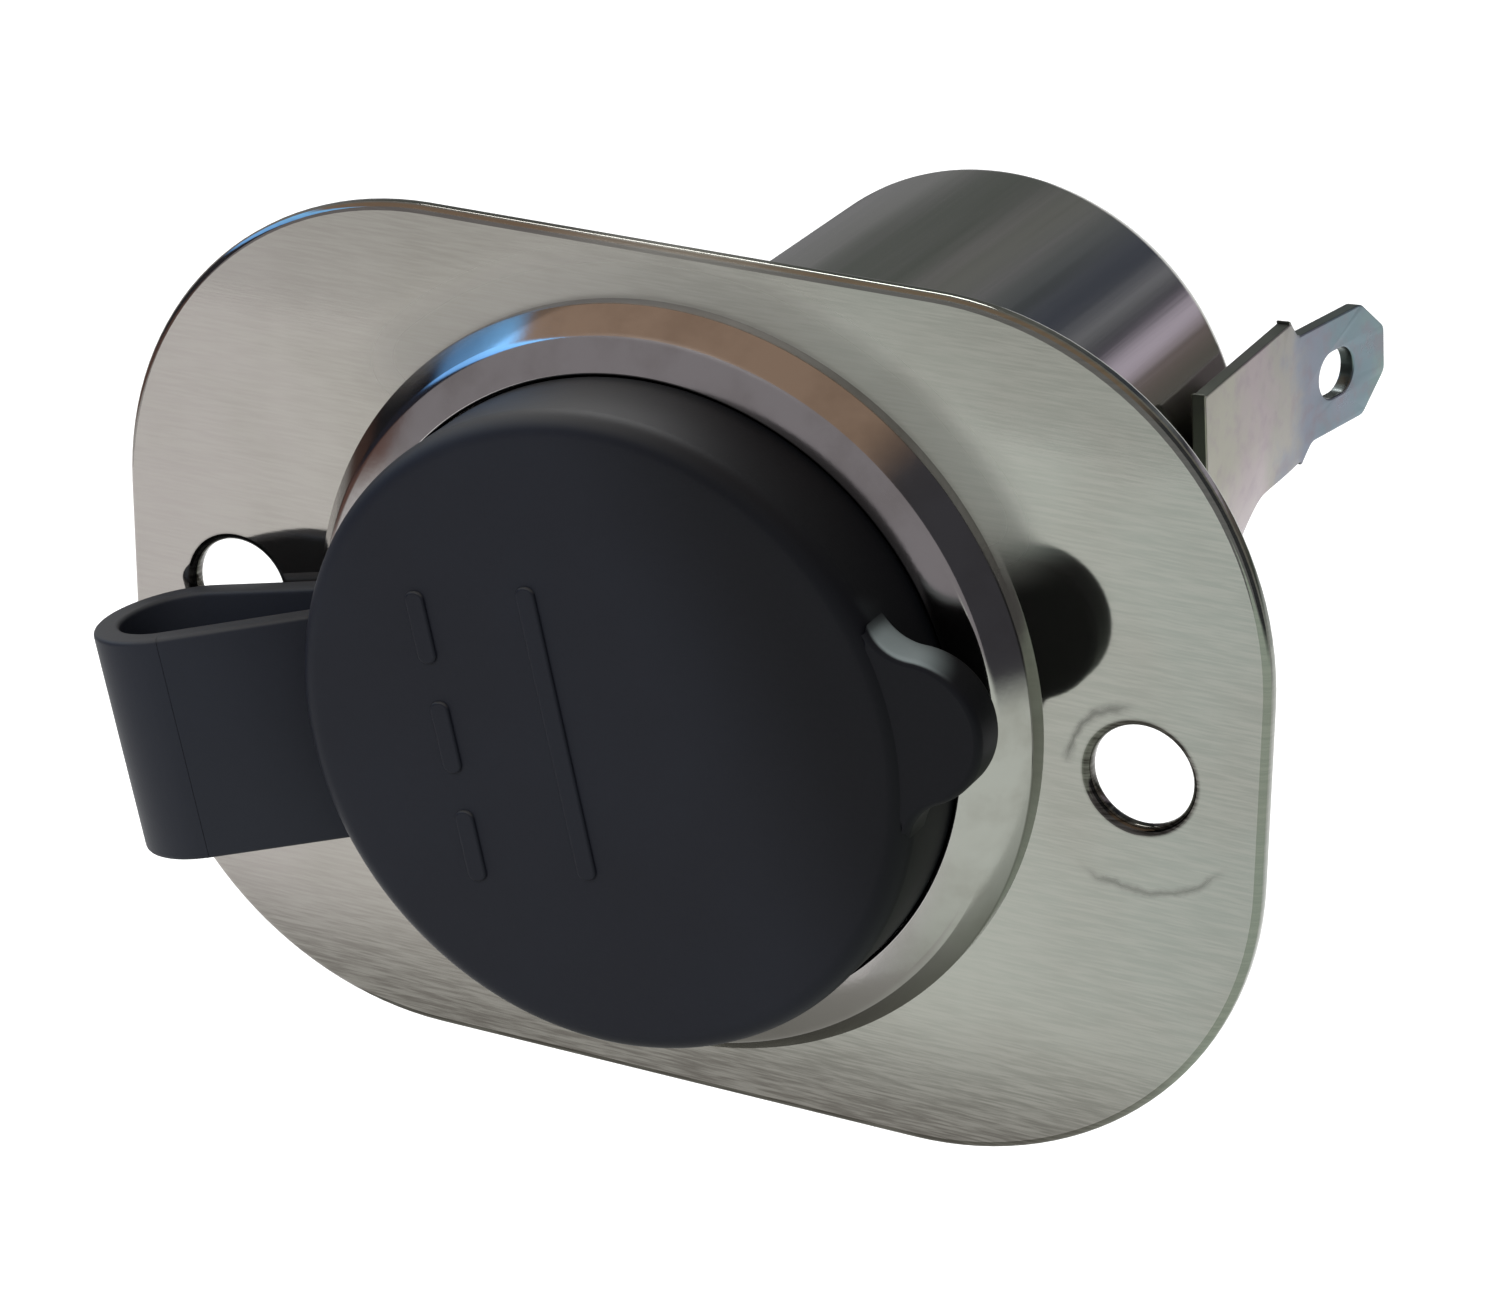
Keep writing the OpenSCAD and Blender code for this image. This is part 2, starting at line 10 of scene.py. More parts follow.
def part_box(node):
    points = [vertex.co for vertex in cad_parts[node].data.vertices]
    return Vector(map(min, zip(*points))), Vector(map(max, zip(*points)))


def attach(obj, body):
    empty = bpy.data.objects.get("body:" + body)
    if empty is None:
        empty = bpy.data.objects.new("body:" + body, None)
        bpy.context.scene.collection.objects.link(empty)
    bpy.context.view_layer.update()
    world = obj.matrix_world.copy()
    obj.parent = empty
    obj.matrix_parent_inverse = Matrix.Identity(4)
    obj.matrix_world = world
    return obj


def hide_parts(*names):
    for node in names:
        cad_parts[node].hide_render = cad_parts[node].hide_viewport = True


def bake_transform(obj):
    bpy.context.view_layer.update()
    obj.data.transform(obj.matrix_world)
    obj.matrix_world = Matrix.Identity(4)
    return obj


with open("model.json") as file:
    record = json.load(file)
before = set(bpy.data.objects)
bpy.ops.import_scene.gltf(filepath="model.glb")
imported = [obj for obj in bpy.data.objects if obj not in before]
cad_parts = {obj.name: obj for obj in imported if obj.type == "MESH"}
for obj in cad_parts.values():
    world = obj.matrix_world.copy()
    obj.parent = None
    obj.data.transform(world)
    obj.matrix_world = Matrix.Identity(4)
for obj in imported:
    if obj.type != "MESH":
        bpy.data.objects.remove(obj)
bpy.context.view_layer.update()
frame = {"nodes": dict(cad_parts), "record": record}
MM = 0.001

# Camera, from a fit to the photograph: angles in degrees, lengths in millimetres
AZIMUTH = 26.02
ELEVATION = 24.06
ROLL = 0.45
DISTANCE = 243.98
AIM_RIGHT = 4.303
AIM_UP = 0.851
AIM_Y = -1.0
LENS = 122.914
SHIFT_X = -0.00442
SHIFT_Y = 0.00385

# Plate
PLATE_CORNER_R = 17.0
PLATE_BORE_R = 12.05
PLATE_EDGE = 0.38

# Rubber moulding: the strap leaves the cap at this angle below the left side
STRAP_ANGLE = 13.0
LEG_SLOPE = 20.0
FOLD_REACH = 24.4
FOLD_R = 3.4
STRAP_W = 11.4
STRAP_T = 1.3
STRAP_EDGE = 0.25
STRAP_ROOT = 1.2
TAB_ANGLE = 13.0
TAB_REACH = 19.7
TAB_TIP_R = 3.6
TAB_FILLET_R = 2.5
TAB_STEP = 0.2
TAB_T = 2.2
TAB_EDGE = 0.35
CAP_EDGE_R = 1.1
CAP_RIM_T = 1.8
CAP_FACE_T = 2.2
CAP_LIFT = 0.3
SKIRT_WALL = 1.6
SKIRT_GAP = 0.2
SKIRT_TAPER = 6.0
RUBBER_EDGE = 0.3

# Well: bore, flange and the windows of the grip springs
BORE_R = 10.6
WELL_WALL = 1.0
WELL_FLOOR_T = 1.2
FLANGE_FLARE = 0.5
FLANGE_RIM_H = 0.6
RIM_EASE = 0.12
BROW_EASE = 0.25
BROW_BACK = 0.2
LIP_EASE = 0.1
LAND_W = 1.8
LAND_SLOPE = 14.0
SHEET_T = 0.7
SEAT_DEPTH = 0.7
CAP_GAP = 0.15
MOUTH_R = 0.6
BUSHING_R = 5.0
SLIP = 0.05
WINDOW_LEN = 16.0
WINDOW_MID = 17.0
WINDOW_W = 5.8

# Barrel
BARREL_WALL = 0.8
BARREL_EDGE_R = 1.6
BARREL_MOUTH_R = 0.12

# Ground terminal: a flat blank, wrapped round the barrel below its contact line and bent at the neck
BLADE_W = 6.3
BLADE_T = 0.8
BLADE_RISE = 0.7
BLADE_BEND = 12.0
BEND_EASE = 0.8
BLADE_CHAMFER = 1.9
BLADE_SLOPE = 2.2
BLADE_HOLE_W = 2.6
BLADE_HOLE_LEN = 3.3
BLADE_HOLE_BACK = 4.7
BLANK_EDGE = 0.1
BLANK_CORNER = 0.3
SHEET_ANGLE = 4.0
SHEET_UPPER_W = 5.2
SHEET_LOWER_W = 3.5
NECK_OUT = 5.2
SHOULDER = 1.2
FOOT_LEN = 7.2
FOOT_WRAP = 48.0
HOLLOW_R = 2.0
RIVET_HOLE_R = 1.25
RIVET_SHARE = 0.65

# Studio: lamps are (place, width, power), the floor's half width is in metres
WORLD_FILL = 0.7
KEY_LAMP = ((-150, -320, 330), 260, 1.0)
RIM_LAMP = ((-140, 200, 310), 200, 1.0)
FLOOR_DROP = 70.0
FLOOR_HALF = 4.0

# Colours of the cards that the bright metal reflects
BRIGHT = (0.90, 0.90, 0.90, 1)
GREENISH = (0.92, 1.00, 0.90, 1)
LILAC = (0.40, 0.38, 0.40, 1)
OLIVE = (0.14, 0.15, 0.14, 1)
GREY = (0.10, 0.10, 0.11, 1)
BLACK = (0.03, 0.03, 0.04, 1)
RED_BROWN = (0.20, 0.11, 0.09, 1)
PINK = (0.80, 0.70, 0.84, 1)

# Cards turned round the socket's axis: (station, radius) outlines, and colours by angle from the top
# towards +X
BACK_CARD = [(320.0, 90.0), (320.0, 420.0)]
BACK_SHADES = [(-180, GREY), (-75, (0.25, 0.25, 0.25, 1)), (-62, OLIVE), (-30, OLIVE),
               (-10, (0.25, 0.25, 0.24, 1)), (8, (0.17, 0.18, 0.19, 1)), (22, (0.11, 0.12, 0.15, 1)),
               (30, (0.08, 0.09, 0.12, 1)), (42, (0.30, 0.30, 0.33, 1)), (51, (0.07, 0.07, 0.09, 1)),
               (60, PINK), (65, PINK), (72, (0.25, 0.20, 0.19, 1)), (92, (0.10, 0.12, 0.10, 1)),
               (104, (0.85, 0.85, 0.85, 1)), (130, (0.92, 0.92, 0.92, 1)), (140, GREY), (180, GREY)]
FRONT_CARD = [(-250.0, 300.0), (60.0, 300.0)]
FRONT_SHADES = [(-180, BRIGHT), (-105, BRIGHT), (-101, RED_BROWN), (-96, RED_BROWN), (-92, BLACK),
                (-76, BLACK), (-72, (0.45, 1.15, 2.40, 1)), (-57, (0.65, 1.60, 2.90, 1)),
                (-53, (0.52, 0.37, 0.27, 1)), (30, (0.46, 0.33, 0.24, 1)), (42, (0.08, 0.08, 0.09, 1)),
                (93, (0.07, 0.07, 0.08, 1)), (101, GREENISH), (180, GREENISH)]
SIDE_BAND = [(60.0, 300.0), (220.0, 300.0)]
BAND_SHADES = [(-180, BRIGHT), (-110, BRIGHT), (-80, (0.40, 0.38, 0.36, 1)), (80, (0.36, 0.33, 0.30, 1)),
               (110, BRIGHT), (180, BRIGHT)]
MIDDLE_CARD = [(-250.0, 75.0), (-250.0, 300.0)]
MIDDLE_SHADES = [(-180, (1.15, 1.15, 1.15, 1)), (-108, (1.15, 1.15, 1.15, 1)), (-104, LILAC), (96, LILAC),
                 (102, GREENISH), (180, GREENISH)]
CENTRE_CARD = [(-250.0, 1.0), (-250.0, 75.0)]
CENTRE_SHADES = [(-180, LILAC), (180, LILAC)]

# Flat cards under the socket: left, right, front and back edges, depth below the plate, and colours from
# left to right
UNDER_CARD = (-60.0, 45.0, -75.0, 60.0)
UNDER_DROP = 62.0
UNDER_SHADES = [(0.0, (0.50, 0.50, 0.47, 1)), (0.65, (0.70, 0.70, 0.66, 1)),
                (1.0, (0.90, 0.96, 0.88, 1))]
SIDE_CARD = (-5.0, 300.0, -260.0, 60.0)
SIDE_DROP = 66.0
SIDE_SHADES = [(0.0, (1.00, 1.00, 1.00, 1)), (0.05, GREENISH), (1.0, GREENISH)]


def size(node):
    """Lowest and highest corners of a CAD node, in millimetres."""
    low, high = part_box(node)
    return low / MM, high / MM


plate_low, plate_high = size("mounting_plate")
well_low, well_high = size("socket_well")
shell_low, shell_high = size("clamp_shell")
cap_low, cap_high = size("cap")
terminal_low, terminal_high = size("ground_terminal")

plate_w = plate_high.x - plate_low.x
plate_h = plate_high.z - plate_low.z
plate_front = plate_low.y
screws = frame["record"]["mounts"][0]["dims"]
hole_x = screws["spacing_x_mm"] / 2
hole_r = screws["hole_r_mm"]
flange_r = well_high.x
shell_r = shell_high.x
shell_len = shell_high.y
cap_r = cap_high.z
cap_face_y = cap_low.y
cap_skirt_y = cap_high.y
land_y = well_low.y
dish_y = land_y + SEAT_DEPTH
seat_r = cap_r + CAP_GAP

strap_out = Vector((-math.cos(math.radians(STRAP_ANGLE)), 0, -math.sin(math.radians(STRAP_ANGLE))))
strap_across = Vector((strap_out.z, 0, -strap_out.x))


def srgb(r, g, b):
    """A colour written as it shows on screen, 0 to 255, as Blender's linear values."""
    def linear(c):
        c /= 255
        return c / 12.92 if c <= 0.04045 else ((c + 0.055) / 1.055) ** 2.4
    return (linear(r), linear(g), linear(b), 1)


# Camera, light and floor

def make_camera():
    """Camera that sees the socket as the photograph does."""
    az, el, roll = (math.radians(a) for a in (AZIMUTH, ELEVATION, ROLL))
    back = Vector((math.sin(az) * math.cos(el), -math.cos(az) * math.cos(el), math.sin(el)))
    level = Vector((math.cos(az), math.sin(az), 0))
    upright = back.cross(level)
    right = level * math.cos(roll) + upright * math.sin(roll)
    up = upright * math.cos(roll) - level * math.sin(roll)
    place = (back * DISTANCE + right * AIM_RIGHT + up * AIM_UP + Vector((0, AIM_Y, 0))) * MM
    camera = bpy.data.objects.new("camera", bpy.data.cameras.new("camera"))
    bpy.context.scene.collection.objects.link(camera)
    turn = Matrix((right, up, back)).transposed().to_4x4()
    camera.matrix_world = Matrix.Translation(place) @ turn
    camera.data.lens = LENS
    camera.data.sensor_width = 36
    camera.data.shift_x = SHIFT_X
    camera.data.shift_y = SHIFT_Y
    camera.data.clip_start = 0.01
    bpy.context.scene.camera = camera


def seen_white(nt):
    """1 for rays from the camera and for reflected or refracted rays, 0 for light on a surface."""
    rays = nt.nodes.new("ShaderNodeLightPath")
    seen = rays.outputs["Is Camera Ray"]
    for kind in ("Is Glossy Ray", "Is Transmission Ray"):
        either = nt.nodes.new("ShaderNodeMath")
        either.operation = "MAXIMUM"
        nt.links.new(seen, either.inputs[0])
        nt.links.new(rays.outputs[kind], either.inputs[1])
        seen = either.outputs[0]
    return seen


def make_world(fill):
    """White behind the object and in its reflections, and a softer fill on its surfaces."""
    world = bpy.data.worlds.new("studio")
    bpy.context.scene.world = world
    world.use_nodes = True
    nt = world.node_tree
    nt.nodes.clear()
    white = nt.nodes.new("ShaderNodeBackground")
    white.inputs["Strength"].default_value = 1
    white.inputs["Color"].default_value = (1, 1, 1, 1)
    soft = nt.nodes.new("ShaderNodeBackground")
    soft.inputs["Strength"].default_value = fill
    soft.inputs["Color"].default_value = (1, 1, 1, 1)
    mix = nt.nodes.new("ShaderNodeMixShader")
    nt.links.new(seen_white(nt), mix.inputs[0])
    nt.links.new(soft.outputs[0], mix.inputs[1])
    nt.links.new(white.outputs[0], mix.inputs[2])
    out = nt.nodes.new("ShaderNodeOutputWorld")
    nt.links.new(mix.outputs[0], out.inputs["Surface"])


def make_lamp(name, place, width, power):
    """Round lamp that shines on the middle of the socket."""
    lamp = bpy.data.lights.new(name, "AREA")
    lamp.shape = "DISK"
    lamp.size = width * MM
    lamp.energy = power
    obj = bpy.data.objects.new(name, lamp)
    bpy.context.scene.collection.objects.link(obj)
    place = Vector(place) * MM
    obj.matrix_world = Matrix.Translation(place) @ place.to_track_quat("Z", "Y").to_matrix().to_4x4()


def make_card(name, points, faces, shade):
    """A glowing card out of view, which only the bright metal reflects. shade(finish) gives its colour."""
    mesh = bpy.data.meshes.new(name)
    mesh.from_pydata([Vector(point) * MM for point in points], [], faces)
    obj = bpy.data.objects.new(name, mesh)
    bpy.context.scene.collection.objects.link(obj)
    f = Finish(name + "_paper", roughness=1, specular=0)
    f.color((0, 0, 0, 1))
    f.put(shade(f), f.shader.inputs["Emission Color"])
    f.shader.inputs["Emission Strength"].default_value = 1
    mesh.materials.append(f.material)
    obj.visible_camera = False
    obj.visible_diffuse = False
    obj.visible_transmission = False
    obj.visible_shadow = False


def make_round_card(name, outline, shades):
    """Card turned round the socket's axis, with shades that change with the angle."""
    turns = 96
    rim = [(math.sin(2 * math.pi * i / turns), math.cos(2 * math.pi * i / turns)) for i in range(turns)]
    points = [(r * x, y, r * z) for y, r in outline for x, z in rim]
    faces = [(row + i, row + (i + 1) % turns, row + turns + (i + 1) % turns, row + turns + i)
             for row in range(0, turns * (len(outline) - 1), turns) for i in range(turns)]

    def shade(f):
        x, _, z = f.axes()
        angle = f.math("MULTIPLY_ADD", f.math("ARCTAN2", x, z), 0.5 / math.pi, 0.5)
        return f.ramp(angle, *[((degrees + 180) / 360, tone) for degrees, tone in shades], smooth=False)

    make_card(name, points, faces, shade)


def make_flat_card(name, edges, drop, shades):
    """Level card above the floor, with shades that change from left to right."""
    left, right, front, back = edges
    z = plate_low.z - drop
    points = [(left, front, z), (right, front, z), (right, back, z), (left, back, z)]

    def shade(f):
        x, _, _ = f.axes()
        across = f.math("MULTIPLY_ADD", x, 1 / (right - left), -left / (right - left))
        return f.ramp(across, *shades, smooth=False)

    make_card(name, points, [(0, 1, 2, 3)], shade)


def make_floor():
    """Plain pale floor that shows as white and still takes the object's soft shadow."""
    z = plate_low.z * MM - FLOOR_DROP * MM
    corners = [(x * FLOOR_HALF, y * FLOOR_HALF, z) for x, y in ((-1, -1), (1, -1), (1, 1), (-1, 1))]
    mesh = bpy.data.meshes.new("floor")
    mesh.from_pydata(corners, [], [(0, 1, 2, 3)])
    obj = bpy.data.objects.new("floor", mesh)
    bpy.context.scene.collection.objects.link(obj)
    paper = Finish("floor_paper", roughness=1, specular=0)
    paper.color((0.7, 0.7, 0.7, 1))
    paper.shader.inputs["Emission Color"].default_value = (1, 1, 1, 1)
    paper.put(paper.spread(seen_white(paper.nt), 0.25, 0.52), paper.shader.inputs["Emission Strength"])
    mesh.materials.append(paper.material)


# Materials

class Finish:
    """A material with its own small set of node helpers. Patterns use object coordinates, in millimetres."""

    def __init__(self, name, metallic=0.0, roughness=0.5, specular=0.5):
        self.material = bpy.data.materials.new(name)
        self.material.use_nodes = True
        self.nt = self.material.node_tree
        self.shader = self.nt.nodes["Principled BSDF"]
        self.shader.inputs["Metallic"].default_value = metallic
        self.shader.inputs["Roughness"].default_value = roughness
        self.shader.inputs["Specular IOR Level"].default_value = specular
        self.coords = self.node("ShaderNodeTexCoord")
        scale = self.node("ShaderNodeVectorMath", operation="SCALE")
        scale.inputs["Scale"].default_value = 1 / MM
        self.link(self.coords.outputs["Object"], scale.inputs[0])
        self.place = scale.outputs[0]

    def node(self, kind, **settings):
        made = self.nt.nodes.new(kind)
        for key, value in settings.items():
            setattr(made, key, value)
        return made

    def link(self, a, b):
        self.nt.links.new(a, b)

    def put(self, value, socket):
        """Links an output, or sets a plain number or colour."""
        if isinstance(value, bpy.types.NodeSocket):
            self.link(value, socket)
        else:
            socket.default_value = value

    def math(self, operation, a, b=0.0, c=0.0, clamp=False):
        """A sum on outputs or plain numbers."""
        made = self.node("ShaderNodeMath", operation=operation, use_clamp=clamp)
        for i, value in enumerate((a, b, c)):
            self.put(value, made.inputs[i])
        return made.outputs[0]

    def length(self, a, b):
        """Length of the vector with these two parts."""
        return self.math("SQRT", self.math("MULTIPLY_ADD", a, a, self.math("MULTIPLY", b, b)))

    def axes(self):
        """The x, y and z of the place on the object, in millimetres."""
        made = self.node("ShaderNodeSeparateXYZ")
        self.link(self.place, made.inputs[0])
        return made.outputs[0], made.outputs[1], made.outputs[2]

    def stretch(self, x, y, z, turn_y=0.0):
        """Places scaled along each axis, so that a pattern can run in one direction."""
        made = self.node("ShaderNodeMapping")
        made.inputs["Scale"].default_value = (x, y, z)
        made.inputs["Rotation"].default_value = (0, math.radians(turn_y), 0)
        self.link(self.place, made.inputs["Vector"])
        return made.outputs[0]

    def noise(self, scale, detail=3.0, rough=0.55, place=None, seed=0.0):
        """A cloudy pattern from 0 to 1, the same on every run."""
        made = self.node("ShaderNodeTexNoise", noise_dimensions="4D")
        self.link(place or self.place, made.inputs["Vector"])
        made.inputs["W"].default_value = seed
        made.inputs["Scale"].default_value = scale
        made.inputs["Detail"].default_value = detail
        made.inputs["Roughness"].default_value = rough
        return made.outputs["Fac"]

    def ramp(self, value, *stops, smooth=True):
        """Colours or greys along a 0 to 1 value. Each stop is (place, grey or colour)."""
        made = self.node("ShaderNodeValToRGB")
        made.color_ramp.interpolation = "EASE" if smooth else "LINEAR"
        elements = made.color_ramp.elements
        while len(elements) < len(stops):
            elements.new(0.5)
        for element, (at, shade) in zip(elements, stops):
            element.position = at
            element.color = shade if isinstance(shade, tuple) else (shade, shade, shade, 1)
        self.put(value, made.inputs[0])
        return made.outputs[0]

    def facing(self, axis):
        """How far the surface looks along x, y or z, from -1 to 1."""
        made = self.node("ShaderNodeSeparateXYZ")
        self.link(self.coords.outputs["Normal"], made.inputs[0])
        return made.outputs["xyz".index(axis)]

    def mix(self, amount, a, b):
        """Goes from one colour to the other as the amount goes from 0 to 1."""
        made = self.node("ShaderNodeMix", data_type="RGBA")
        self.put(amount, made.inputs[0])
        self.put(a, made.inputs[6])
        self.put(b, made.inputs[7])
        return made.outputs[2]

    def spread(self, value, low, high):
        """Maps 0 to 1 onto low to high."""
        return self.math("MULTIPLY_ADD", value, high - low, low)

    def bump(self, height, strength, distance):
        """Fine relief, with its distance in millimetres."""
        made = self.node("ShaderNodeBump")
        made.inputs["Strength"].default_value = strength
        made.inputs["Distance"].default_value = distance * MM
        self.put(height, made.inputs["Height"])
        self.link(made.outputs[0], self.shader.inputs["Normal"])

    def color(self, value):
        self.put(value, self.shader.inputs["Base Color"])

    def rough(self, value):
        self.put(value, self.shader.inputs["Roughness"])


def scratch(f, radius, width, middle, spread):
    """An arc of worn metal round the right screw hole: its radius, width, and angles from +X in degrees."""
    x, _, z = f.axes()
    aside = f.math("SUBTRACT", x, hole_x)
    wander = f.spread(f.noise(0.6, detail=3, seed=radius), -0.5, 0.5)
    away = f.math("ADD", f.length(aside, z), wander)
    off_line = f.math("ABSOLUTE", f.math("SUBTRACT", away, radius))
    line = f.math("SUBTRACT", 1.0, f.math("DIVIDE", off_line, width), clamp=True)
    turn = f.math("SUBTRACT", f.math("ARCTAN2", z, aside), math.radians(middle))
    near = f.ramp(f.math("DIVIDE", f.math("ABSOLUTE", turn), math.radians(spread)), (0.5, 1.0), (1.0, 0.0))
    return f.math("MULTIPLY", line, near)


def plate_finish():
    """Polished steel sheet: smudges, faint drawing marks, worn arcs round the right hole, and painted
    reflection and shade.
    """
    f = Finish("polished_plate", metallic=1)
    x, _, z = f.axes()
    # Painted reflection: the tone runs from warm at the left to a darker green-grey at the right.
    across = f.math("MULTIPLY_ADD", x, 1 / plate_w, 0.5)
    tone = f.ramp(across, (0.0, srgb(148, 143, 140)), (0.35, srgb(147, 144, 138)),
                  (0.7, srgb(142, 145, 137)), (1.0, srgb(128, 133, 126)))
    smudge = f.noise(0.11, detail=4, seed=2.0)
    tone = f.mix(f.ramp(smudge, (0.35, 0.0), (0.7, 0.35)), tone, srgb(122, 119, 111))
    # Painted reflection: darker towards the bottom edge, and a little at the top edge.
    height = f.math("MULTIPLY_ADD", z, 1 / plate_h, 0.5)
    painted_dark_edges = f.ramp(height, (0.0, 1.0), (0.2, 0.0), (0.9, 0.0), (1.0, 0.15))
    tone = f.mix(painted_dark_edges, tone, srgb(84, 81, 76))
    # Painted shade: a dark ring on the rounded rim of each screw hole.
    aside = f.math("SUBTRACT", f.math("ABSOLUTE", x), hole_x)
    painted_hole_rims = f.ramp(f.math("DIVIDE", f.length(aside, z), 4.0), (0.69, 1.0), (0.75, 0.0))
    tone = f.mix(painted_hole_rims, tone, srgb(52, 50, 46))
    marked = f.math("MAXIMUM", scratch(f, 3.6, 0.35, 140, 50), scratch(f, 5.7, 0.3, -80, 45))
    grain = f.noise(1.0, detail=5, place=f.stretch(0.5, 0.5, 9.0, turn_y=32))
    tone = f.mix(f.ramp(grain, (0.35, 0.0), (0.65, 0.3)), tone, srgb(158, 157, 150))
    f.color(f.mix(f.math("MULTIPLY", marked, 0.5), tone, srgb(96, 96, 92)))
    beside = f.ramp(f.math("DIVIDE", f.length(x, z), 2 * flange_r), (0.53, 1.0), (0.62, 0.0))
    above = f.ramp(f.math("DIVIDE", f.math("ARCTAN2", z, x), math.pi), (0.13, 0.0), (0.2, 1.0),
                   (0.74, 1.0), (0.82, 0.0))
    rubbed = f.math("MULTIPLY", beside, above)
    f.put(f.spread(rubbed, 0.975, 0.25), f.shader.inputs["Metallic"])
    dull = f.math("ADD", marked, rubbed)
    f.rough(f.math("MULTIPLY_ADD", dull, 0.3, f.spread(smudge, 0.02, 0.09)))
    f.bump(grain, 0.008, 0.05)
    return f.material


def chrome_finish():
    """Bright plated flange with a few dull patches, and painted reflection that darkens its lower part."""
    f = Finish("bright_flange", metallic=1)
    dull = f.noise(0.35, detail=4, seed=5.0)
    _, _, z = f.axes()
    tone = f.mix(f.ramp(dull, (0.4, 0.0), (0.75, 0.6)), srgb(172, 169, 168), srgb(148, 143, 140))
    # Painted reflection: the lower part of the flange is darker.
    low = f.ramp(f.math("MULTIPLY_ADD", z, 0.5 / flange_r, 0.5), (0.05, 0.8), (0.4, 0.0))
    f.color(f.mix(low, tone, srgb(112, 110, 106)))
    f.rough(f.spread(dull, 0.06, 0.18))
    f.bump(f.noise(3.0, detail=3), 0.03, 0.05)
    return f.material


def barrel_finish():
    """Drawn nickel barrel: streaks run along it."""
    f = Finish("drawn_barrel", metallic=1)
    streak = f.noise(1.0, detail=4, place=f.stretch(0.5, 0.012, 0.5), seed=1.0)
    fine = f.noise(1.0, detail=5, place=f.stretch(4.0, 0.05, 4.0), seed=3.0)
    f.color(f.ramp(streak, (0.3, srgb(146, 148, 142)), (0.5, srgb(168, 168, 164)),
                   (0.68, srgb(186, 182, 182))))
    f.rough(f.spread(fine, 0.08, 0.18))
    f.bump(fine, 0.05, 0.05)
    return f.material


def zinc_finish():
    """Iridescent passivated sheet: warm at the foot, blue-green at the tip, with painted shade on its cut
    edges.
    """
    f = Finish("passivated_zinc", metallic=1)
    _, y, _ = f.axes()
    length = terminal_high.y - terminal_low.y
    along = f.math("MULTIPLY_ADD", y, 1 / length, -terminal_low.y / length)
    cloud = f.noise(0.28, detail=4, seed=4.0)
    along = f.math("ADD", along, f.spread(cloud, -0.3, 0.3))
    face = f.ramp(along, (0.1, srgb(142, 140, 128)), (0.35, srgb(147, 136, 138)),
                  (0.5, srgb(141, 138, 132)), (0.65, srgb(124, 130, 142)), (0.85, srgb(114, 132, 140)),
                  (1.0, srgb(120, 140, 138)))
    blotch = f.noise(0.9, detail=5, seed=9.0)
    face = f.mix(f.ramp(blotch, (0.45, 0.0), (0.7, 0.5)), face, srgb(128, 116, 124))
    # Painted shade: the cut edges of the sheet, found by the way they face, are darker.
    painted_edge_shade = f.ramp(f.math("ABSOLUTE", f.facing("x")), (0.3, 0.8), (0.5, 0.0))
    f.color(f.mix(painted_edge_shade, face, srgb(70, 76, 70)))
    f.rough(f.spread(cloud, 0.22, 0.38))
    f.bump(f.noise(4.0, detail=4), 0.06, 0.05)
    return f.material


def rubber_finish():
    """Matt moulded rubber, blue-black: bloom, a fine grain, and painted light and shade: paler upward faces,
    darker towards the tab, a highlight at the tab root.
    """
    f = Finish("matt_rubber", roughness=0.5, specular=0.12)
    bloom = f.noise(0.12, detail=4, seed=7.0)
    x, _, z = f.axes()
    towards_tab = f.math("MULTIPLY_ADD", f.math("MULTIPLY_ADD", x, 2.0, z), 1 / (6 * cap_r), 0.5)
    tone = f.mix(bloom, srgb(18, 19, 26), srgb(27, 30, 38))
    upward = f.facing("z")
    # Painted light: faces that look upward are paler.
    tone = f.mix(f.ramp(upward, (0.3, 0.0), (0.85, 0.8)), tone, srgb(60, 60, 60))
    # Painted light and shade: paler towards the lower left, darker towards the tab on the right.
    tone = f.mix(f.ramp(towards_tab, (0.0, 0.14), (0.2, 0.0)), tone, srgb(66, 70, 78))
    tone = f.mix(f.ramp(towards_tab, (0.58, 0.0), (0.8, 0.9)), tone, srgb(7, 8, 13))
    # Painted highlight: a pale patch on the upward faces at the root of the tab.
    root = math.radians(TAB_ANGLE + 12)
    from_root = f.node("ShaderNodeVectorMath", operation="DISTANCE")
    f.link(f.place, from_root.inputs[0])
    from_root.inputs[1].default_value = (cap_r * math.cos(root), cap_face_y + TAB_STEP,
                                         cap_r * math.sin(root))
    near_root = f.ramp(f.math("DIVIDE", from_root.outputs["Value"], 5.0), (0.3, 1.0), (0.7, 0.0))
    marked = f.math("MULTIPLY", near_root, f.ramp(upward, (0.5, 0.0), (0.8, 1.0)))
    f.color(f.mix(marked, tone, srgb(112, 120, 120)))
    f.rough(f.spread(bloom, 0.42, 0.6))
    f.bump(f.noise(6.0, detail=3), 0.12, 0.05)
    return f.material


def metal_finish(name, dark, light, low=0.2, high=0.36):
    """Plain turned or stamped metal with a slight change of tone."""
    f = Finish(name, metallic=1)
    tone = f.noise(0.5, detail=4)
    f.color(f.mix(tone, dark, light))
    f.rough(f.spread(tone, low, high))
    f.bump(f.noise(1.0, detail=4, place=f.stretch(5.0, 0.6, 5.0)), 0.08, 0.05)
    return f.material


def phenolic_finish():
    """Brown moulded insulator with a mottled body."""
    f = Finish("brown_phenolic", roughness=0.4)
    mottle = f.noise(1.6, detail=5)
    f.color(f.mix(mottle, srgb(70, 40, 22), srgb(112, 72, 42)))
    f.rough(f.spread(mottle, 0.32, 0.5))
    f.bump(mottle, 0.08, 0.05)
    return f.material


# Mesh helpers: outlines are in millimetres

